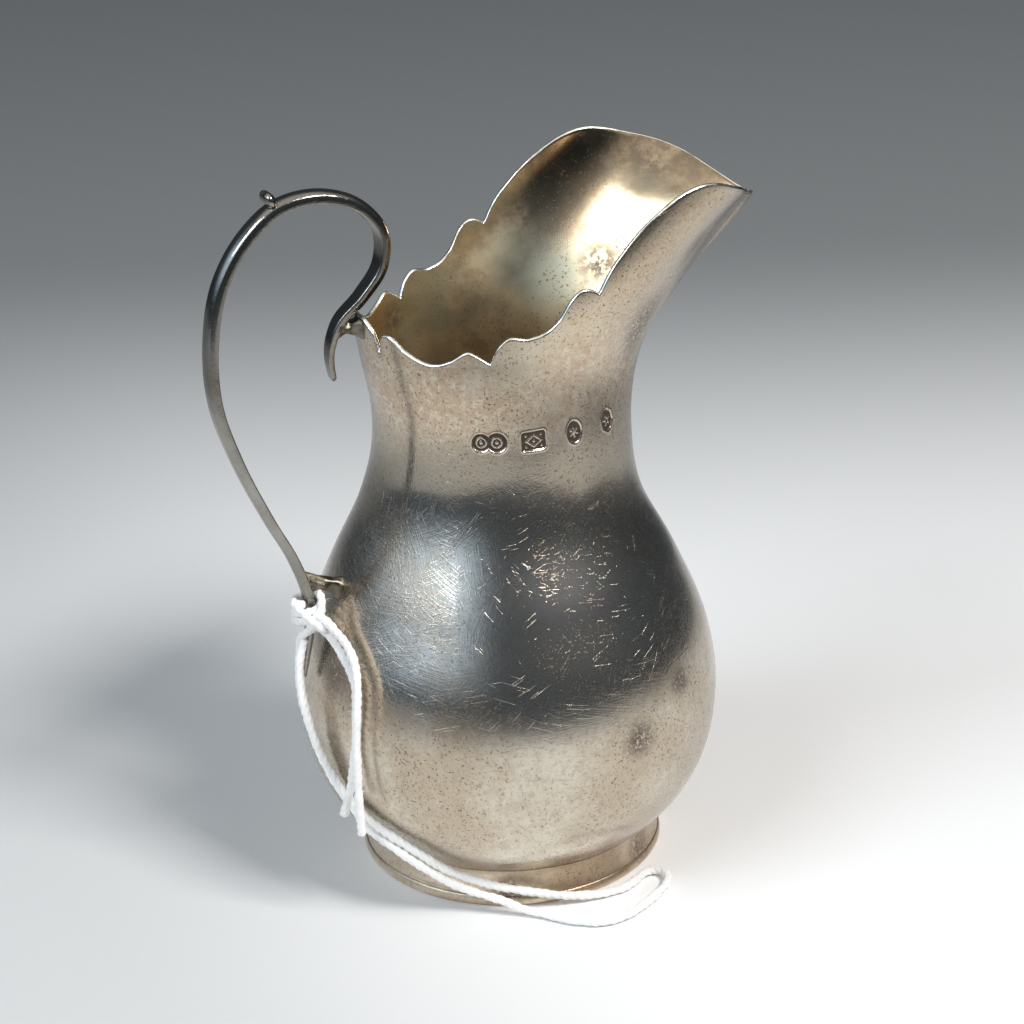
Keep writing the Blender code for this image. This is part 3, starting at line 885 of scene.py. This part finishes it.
def outline_inside(kind, u, v, wide, tall):
    """How far inside its outline a point of a mark is, in millimetres, negative outside it."""
    if kind == "twin":
        left = 0.92 * tall - math.hypot(u + wide - 0.95 * tall, v)
        right = tall - math.hypot(u - wide + tall, v)
        return max(left, right)
    if kind == "block":
        corner = 0.35
        side = max(abs(u) - wide + corner, 0)
        rise = max(abs(v) - tall + corner, 0)
        inner = min(max(abs(u) - wide + corner, abs(v) - tall + corner), 0)
        return corner - math.hypot(side, rise) - inner
    if kind == "oval":
        return (1 - math.hypot(u / wide, v / tall)) * min(wide, tall)
    slant = (1 - abs(u) / (1.5 * wide) - abs(v) / (1.25 * tall)) * 1.1
    return min(wide - abs(u), tall - abs(v), slant)


def petals(u, v, reach, count, depth):
    """How far inside a flower of this many petals a point is."""
    return reach * (1 - depth + depth * math.cos(count * math.atan2(u, v))) - math.hypot(u, v)


def device_inside(kind, u, v, wide, tall):
    """How far inside the raised device of a mark a point is, in millimetres."""
    if kind == "rings":
        found = -1.0
        for middle in (-(wide - 0.95 * tall), wide - tall):
            away = math.hypot(u - middle, v)
            found = max(found, 0.13 - abs(away - 0.62), 0.24 - away)
        return found
    if kind == "lozenge":
        inside = (1 - abs(u) / 0.95 - abs(v) / 0.72) * 0.6
        corners = 0.15 - math.hypot(abs(u) - 0.98, abs(v) - 0.72)
        return max(0.14 - abs(inside), corners, 0.2 - math.hypot(u, v))
    if kind == "star":
        return petals(u, v, 0.8, 6, 0.34)
    return min(petals(u, v, 0.82, 5, 0.25), math.hypot(u, v) - 0.18)


def eased(value, width):
    """0 below -width, 1 above width, and smooth between."""
    share = min(max(0.5 + value / (2 * width), 0.0), 1.0)
    return share * share * (3 - 2 * share)


def mark_shape(degrees, height):
    """(how deep the surface is pressed in here, whether it is a mark's dark ground)."""
    for mark in MARKS:
        _, _, wide, tall, _, outline, device = mark
        u, v = mark_place(mark, degrees, height)
        if abs(u) > wide + 0.5 or abs(v) > tall + 0.5:
            continue
        inside = outline_inside(outline, u, v, wide, tall)
        raised = device_inside(device, u, v, wide, tall)
        deep = MARK_DEPTH * eased(inside, 0.1)
        burr = BURR_HEIGHT * math.exp(-(((inside + BURR_PLACE) / BURR_WIDTH) ** 2))
        deep -= MARK_RELIEF * eased(raised, 0.05) * eased(inside - 0.1, 0.06) + burr
        return deep, inside > 0.02 and (raised < 0.0 or inside < 0.1)
    return 0.0, False


def surface_place(point):
    """(degrees, height) of a point given in metres."""
    x, y, z = (value / MM for value in point)
    return math.degrees(math.atan2(y, x - AXIS_X)), z


def near_mark(degrees, height, room):
    for mark in MARKS:
        u, v = mark_place(mark, degrees, height)
        if abs(u) < mark[2] + room and abs(v) < mark[3] + room:
            return True
    return False


def marked_faces(mesh, room):
    """Each of the neck's outer faces within this room of a mark, with its place on the surface."""
    for face in mesh.faces:
        middle = face.calc_center_median()
        if face.material_index == OUTSIDE and NECK_LEVEL * MM < middle.z < MARK_TOP * MM:
            degrees, height = surface_place(middle)
            if near_mark(degrees, height, room):
                yield face, degrees, height


def punch_marks(piece):
    """Cuts the mesh finer round each mark, and presses the marks into it."""
    mesh = bmesh.new()
    mesh.from_mesh(piece.data)
    chosen = {}
    for face, _, _ in marked_faces(mesh, 0.5):
        chosen.update(dict.fromkeys(face.edges))
    bmesh.ops.subdivide_edges(mesh, edges=list(chosen), cuts=MARK_CUTS, use_grid_fill=True)
    touched = {}
    for face, degrees, height in marked_faces(mesh, 1.0):
        touched.update(dict.fromkeys(face.verts))
        if mark_shape(degrees, height)[1]:
            face.material_index = MARK_GROUND
    places = [surface_place(vert.co) for vert in touched]
    radii = wall_radii(*np.array(places).T)
    for vert, (degrees, height), radius in zip(touched, places, radii):
        radius -= mark_shape(degrees, height)[0]
        turn = math.radians(degrees)
        vert.co.x = (AXIS_X + radius * math.cos(turn)) * MM
        vert.co.y = radius * math.sin(turn) * MM
    mesh.to_mesh(piece.data)
    mesh.free()
    piece.data.shade_smooth()


# ---- the foot


FOOT_STEPS = 360
FOOT_WOBBLE = 0.02
CORNER_ROUNDING = 0.07
CORNER_ANGLE = 32
COLLAR = [
    (20.06, 5.02), (19.9, 4.72), (19.78, 4.1), (19.74, 3.2), (19.79, 2.2), (19.95, 1.6), (20.08, 1.34),
    (19.9, 1.22), (19.3, 1.22), (19.1, 1.4), (18.97, 2.6), (19.0, 4.0), (19.15, 4.6),
]
WIRE = [
    (20.0, 1.24), (20.16, 1.18), (20.3, 0.85), (20.37, 0.5), (20.36, 0.16), (20.22, 0.0), (19.3, 0.0),
    (19.08, 0.16), (19.0, 0.55), (19.1, 1.05), (19.3, 1.24),
]


def make_ring(name, section, look, node):
    """A ring about the jug's axis, a little uneven as hand work is, with its section given outside first."""
    section = np.array(section, float)
    size = len(section)
    across = np.concatenate([[0], np.cumsum(np.linalg.norm(np.diff(section, axis=0), axis=1))])
    points = []
    for step in range(FOOT_STEPS):
        turn = 2 * math.pi * step / FOOT_STEPS
        waves = math.sin(3 * turn + 0.7) + 0.6 * math.sin(7 * turn) + 0.4 * math.sin(19 * turn)
        radius = section[:, 0] + FOOT_WOBBLE * waves
        x = AXIS_X + radius * math.cos(turn)
        points.append(np.column_stack([x, radius * math.sin(turn), section[:, 1]]))
    along = np.linspace(0, 2 * math.pi * JOINT_RADIUS, FOOT_STEPS + 1) * MM
    uvs = []
    for step in range(FOOT_STEPS):
        for i in range(size):
            low = across[i] * MM
            high = across[i + 1] * MM if i + 1 < size else low + 0.001
            uvs += [(along[step], low), (along[step], high), (along[step + 1], high), (along[step + 1], low)]
    faces = grid_faces(FOOT_STEPS, size, closed_rows=True)
    piece = mesh_piece(name, np.concatenate(points), faces, [look], uvs=uvs)
    rounding = piece.modifiers.new("rounding", "BEVEL")
    rounding.width = CORNER_ROUNDING * MM
    rounding.segments = 2
    rounding.limit_method = "ANGLE"
    rounding.angle_limit = math.radians(CORNER_ANGLE)
    place(piece, "foot_silver", node)


# ---- the handle


def handle_section(corners=7, crown=11):
    """The handle's D section from its flat inner face round, as shares of (half breadth, thickness)."""
    half = [(0.0, -0.5), (0.3, -0.5), (0.6, -0.495), (0.8, -0.485)]
    for step in range(1, corners + 1):
        turn = math.pi / 2 * step / corners
        half.append((0.86 + 0.14 * math.sin(turn), -0.34 - 0.14 * math.cos(turn)))
    half += [(1.0, -0.2), (1.0, -0.06)]
    for step in range(crown + 1):
        turn = math.pi / 2 * step / crown
        half.append((0.965 * math.cos(turn) ** 0.9, 0.03 + 0.47 * math.sin(turn) ** 0.85))
    return np.array(half + [(-side, out) for side, out in half[-2:0:-1]])


@functools.cache
def handle_line():
    """Points evenly along the handle's centre line, the direction of travel at each, and the length."""
    places = np.array(HANDLE_ROUTE)
    lengths = np.concatenate([[0], np.cumsum(np.hypot(*np.diff(places, axis=0).T))])
    at = np.linspace(0, lengths[-1], HANDLE_STATIONS)
    x = curve(np.column_stack([lengths, places[:, 0]]), at)
    z = curve(np.column_stack([lengths, places[:, 1]]), at)
    along = unit(np.column_stack([np.gradient(x), np.gradient(z)]))
    return x, z, along, lengths[-1]


def make_handle(look):
    """The scroll: a D-section strap that tapers to a tail above and to a blunt end below."""
    section = handle_section()
    x, z, along, length = handle_line()
    shares = np.linspace(0, 1, HANDLE_STATIONS)
    breadth = curve(HANDLE_BREADTH, shares)
    thickness = curve(HANDLE_THICKNESS, shares)
    end = np.minimum(shares, 1 - shares) * length
    blunt = np.sqrt(1 - (1 - np.clip(end / HANDLE_END, 0.03, 1)) ** 2)
    rings = []
    for i in range(HANDLE_STATIONS):
        run, rise = along[i]
        lift = section[:, 1] * thickness[i] * blunt[i]
        side = section[:, 0] * breadth[i] / 2 * blunt[i]
        rings.append(np.column_stack([AXIS_X + x[i] + rise * lift, side, z[i] - run * lift])[::-1])
    place(tube_piece("jug_handle", rings, look, HANDLE_GIRTH, shares * length), "handle_silver", "handle")


# The thumb spur's place on the handle, and its size along the handle, across it and up
SPUR_PLACE = (-28.1, 92.3)
SPUR_SIZE = (1.45, 3.4, 1.87)
SPUR_STATIONS = 27
SPUR_SIDES = 22
SPUR_SINK = 0.36
SPUR_CORE = 0.42
SPUR_WAIST = 0.1
SPUR_GIRTH = 4.0


def make_spur(look):
    """The thumb spur: a short barrel across the handle's top and sunk into it, with a waist in its middle."""
    x, z, along, _ = handle_line()
    nearest = int(np.argmin(np.hypot(x - SPUR_PLACE[0], z - SPUR_PLACE[1])))
    run, rise = along[nearest]
    thick, broad, tall = SPUR_SIZE
    middle = float(curve(HANDLE_THICKNESS, nearest / (HANDLE_STATIONS - 1))) * SPUR_SINK + tall * SPUR_CORE
    turns = np.linspace(0, 2 * math.pi, SPUR_SIDES, endpoint=False)
    rings = []
    for share in np.linspace(-1, 1, SPUR_STATIONS):
        rounding = math.sqrt(max(1 - abs(share) ** 3.2, 0.0012))
        size = rounding * (1 - SPUR_WAIST * math.exp(-((share / 0.22) ** 2)))
        ahead = np.cos(turns) * thick / 2 * size
        lift = middle + np.sin(turns) * tall * (1 - SPUR_CORE) * size
        ring_x = AXIS_X + x[nearest] + run * ahead + rise * lift
        ring_z = z[nearest] + rise * ahead - run * lift
        rings.append(np.column_stack([ring_x, np.full(SPUR_SIDES, share * broad / 2), ring_z]))
    stations = np.linspace(0, broad, SPUR_STATIONS)
    piece = tube_piece("thumb_spur_barrel", rings, look, SPUR_GIRTH, stations)
    place(piece, "handle_silver", "thumb_spur")


# The solder between the handle and the wall, as (height, half size across, half size up) on the way
NECK_SOLDER = [(75.9, 1.25, 1.5), (75.9, 0.85, 0.9), (75.9, 0.85, 0.95), (75.7, 1.7, 1.6)]
BELLY_SOLDER = [(43.4, 1.1, 1.6), (42.6, 0.85, 1.05), (42.0, 0.85, 0.95), (41.2, 1.3, 1.4)]
SOLDER_RINGS = 26
SOLDER_SIDES = 40
SOLDER_SINK = 0.1
# Shares of the handle's length: its upper tail ends at the first, and its lower limb begins at the second
UPPER_TAIL = 0.16
LOWER_LIMB = 0.6


def handle_middle(height, upper):
    """x of the handle's centre line at this height, on its upper tail or on its lower limb."""
    x, z, _, _ = handle_line()
    shares = np.linspace(0, 1, HANDLE_STATIONS)
    order = np.flatnonzero(shares < UPPER_TAIL if upper else shares > LOWER_LIMB)
    order = order[np.argsort(z[order])]
    return np.interp(height, z[order], x[order])


def make_solder(name, shape, upper, look, node):
    """A waisted, lumpy bridge of solder that runs out onto the handle and onto the wall."""
    shares = np.linspace(0, 1, len(shape))
    rings = []
    turns = np.linspace(0, 2 * math.pi, SOLDER_SIDES, endpoint=False)
    for share in np.linspace(0, 1, SOLDER_RINGS):
        level, across, up = [float(curve(list(zip(shares, column)), share)) for column in zip(*shape)]
        lumpy = 1 + 0.07 * np.sin(3 * turns + 9 * share) + 0.05 * np.sin(5 * turns - 6 * share)
        y = across * lumpy * np.cos(turns)
        height = level + up * lumpy * np.sin(turns)
        behind = wall_radii(np.full(SOLDER_SIDES, 180.0), height) - SOLDER_SINK
        wall_x = -np.sqrt(behind**2 - y * y)
        x = AXIS_X + (1 - share) * handle_middle(height, upper) + share * wall_x
        rings.append(np.column_stack([x, y, height]))
    place(tube_piece(name, rings, look), "solder", node)


# ---- the set


# The floor, in metres and colours
FLOOR_REACH = 6.0
FLOOR_DROP = 0.05 * MM
FLOOR_NEAR = (0.92, 0.925, 0.925)
FLOOR_PAINTED_FALLOFF = (0.27, 0.28, 0.282)
FLOOR_SHADED = (0.2, 0.21, 0.21)
FLOOR_PAINTED_DARK = (0.03, 0.035, 0.04)
BLACK = (0.0, 0.0, 0.0)


def make_floor():
    """A pale floor, white round the jug, with painted light: grey far off, a shadow on the left, and black
    past its lit part for reflections of the dark room.
    """
    reach = FLOOR_REACH
    corners = [(-reach, -reach, 0), (reach, -reach, 0), (reach, reach, 0), (-reach, reach, 0)]
    mesh = bpy.data.meshes.new("floor")
    mesh.from_pydata(corners, [], [(0, 1, 2, 3)])
    floor = add("floor", mesh)
    floor.location.z = -FLOOR_DROP
    look = Look("floor", 0.0)
    where = look.position()
    x, y, _ = look.split(where)
    seen = look.node("ShaderNodeLightPath").outputs["Is Camera Ray"]
    reflected = look.math("SUBTRACT", 1.0, seen)
    # Painted shadow: for the camera, the floor turns to FLOOR_SHADED towards the left
    shaded = look.times(look.ramp(x, 0.02, -0.06, 0.0, 0.33), seen)
    colour = look.mix(shaded, FLOOR_NEAR, FLOOR_SHADED)
    # Painted shade: to reflections, the floor turns black away from the jug, for the dark room
    away = look.vector("LENGTH", where).outputs["Value"]
    colour = look.mix(look.times(look.ramp(away, 0.09, 0.23, 0.0, 0.58), reflected), colour, BLACK)
    # Painted falloff of light: the floor greys towards the back
    turn = math.radians(CAMERA_AZIMUTH)
    behind = look.plus(look.times(y, math.cos(turn)), look.times(x, -math.sin(turn)))
    colour = look.mix(look.ramp(behind, 0.05, 0.29), colour, FLOOR_PAINTED_FALLOFF)
    # Painted shade: zones of the floor that reflections see as dark
    dim = look.most(
        look.ramp(x, 0.22, 0.29),
        look.ramp(y, -0.25, -0.285),
        look.ramp(look.plus(x, y), 0.22, 0.32),
        look.ramp(x, -0.7, -1.0),
    )
    look.set("Base Color", look.mix(look.times(dim, reflected), colour, FLOOR_PAINTED_DARK))
    look.set("Roughness", 0.7)
    look.set("Specular IOR Level", 0.2)
    floor.data.materials.append(look.material)


def direction(azimuth, elevation):
    """The unit vector to a compass point: azimuth in degrees from +X towards +Y."""
    turn = math.radians(azimuth)
    rise = math.radians(elevation)
    return Vector((math.cos(turn) * math.cos(rise), math.sin(turn) * math.cos(rise), math.sin(rise)))


LIT_POINT = (0, 0, 0.045)
LIGHT_DISTANCE = 0.8


def soft_light(name, azimuth, elevation, size, power, colour):
    """A rectangular soft light that faces the jug, with its size in metres."""
    data = bpy.data.lights.new(name, "AREA")
    data.shape = "RECTANGLE"
    data.size, data.size_y = size
    data.energy = power
    data.color = colour
    light = add(name, data)
    towards = direction(azimuth, elevation)
    light.location = Vector(LIT_POINT) + towards * LIGHT_DISTANCE
    light.rotation_mode = "QUATERNION"
    light.rotation_quaternion = (-towards).to_track_quat("-Z", "Y")


# The room's colours: low and high in reflections, its glow, its fill, and what the camera sees
ROOM_LOW = (0.035, 0.045, 0.052)
ROOM_HIGH = (0.9, 0.88, 0.85)
ROOM_GLOW = (1.1, 1.42, 1.88)
ROOM_FILL = (0.08, 0.082, 0.084)
ROOM_SEEN = (0.2, 0.207, 0.21)
# Where the glow of the bright left side is strongest, in degrees
GLOW_AZIMUTH = -180


def make_world():
    """The room: a plain grey for the camera, a weak soft fill for matt surfaces, and for reflections a dark
    wall under a light ceiling, with a bluish glow on the left."""
    world = bpy.data.worlds.new("room")
    world.use_nodes = True
    bpy.context.scene.world = world
    room = Nodes(world.node_tree)
    path = room.node("ShaderNodeLightPath").outputs
    where = room.node("ShaderNodeTexCoord").outputs["Generated"]
    height = room.split(where)[2]
    level = room.vector("MULTIPLY", where, (1, 1, 0)).outputs[0]
    flat = room.vector("NORMALIZE", level).outputs[0]
    facing = room.vector("DOT_PRODUCT", flat, direction(GLOW_AZIMUTH, 0)).outputs["Value"]
    near = room.ramp(facing, 0.3, 1.0)
    band = room.times(room.ramp(height, 0.05, 0.47), room.ramp(height, 0.64, 0.53))
    colour = room.mix(room.ramp(height, 0.55, 0.95), ROOM_LOW, ROOM_HIGH)
    colour = room.mix(room.times(near, near, band), colour, ROOM_GLOW)
    colour = room.mix(path["Is Diffuse Ray"], colour, ROOM_FILL)
    colour = room.mix(path["Is Camera Ray"], colour, ROOM_SEEN)
    join(room.tree, colour, room.tree.nodes["Background"].inputs["Color"])


def make_lights():
    soft_light("window_light", -149.5, 43, (0.13, 0.32), 0.8, (0.93, 0.97, 1.0))
    soft_light("left_light", -172, 44, (0.3, 0.3), 2.2, (0.86, 0.94, 1.0))
    soft_light("right_light", -60, 48, (0.28, 0.17), 5.7, (1.0, 0.98, 0.96))


def main():
    bpy.context.scene.view_settings.view_transform = "Standard"
    make_camera()
    cotton = cotton_look()
    make_string(cotton)
    make_body([outside_silver(), inside_silver(), edge_silver(), punch_ground()])
    foot = foot_silver()
    make_ring("foot_collar_band", COLLAR, foot, "foot_collar")
    make_ring("foot_base_wire", WIRE, foot, "foot_wire")
    scroll = handle_silver()
    make_handle(scroll)
    make_spur(scroll)
    solder = solder_look()
    make_solder("neck_solder_bridge", NECK_SOLDER, True, solder, "neck_solder")
    make_solder("belly_solder_bridge", BELLY_SOLDER, False, solder, "belly_solder")
    make_floor()
    make_world()
    make_lights()


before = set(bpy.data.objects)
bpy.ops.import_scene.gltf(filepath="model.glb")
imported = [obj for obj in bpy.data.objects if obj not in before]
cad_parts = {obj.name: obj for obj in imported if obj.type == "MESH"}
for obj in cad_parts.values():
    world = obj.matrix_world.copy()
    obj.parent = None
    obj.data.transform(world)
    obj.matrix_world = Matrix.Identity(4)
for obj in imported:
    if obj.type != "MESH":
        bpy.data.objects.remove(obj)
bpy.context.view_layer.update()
main()
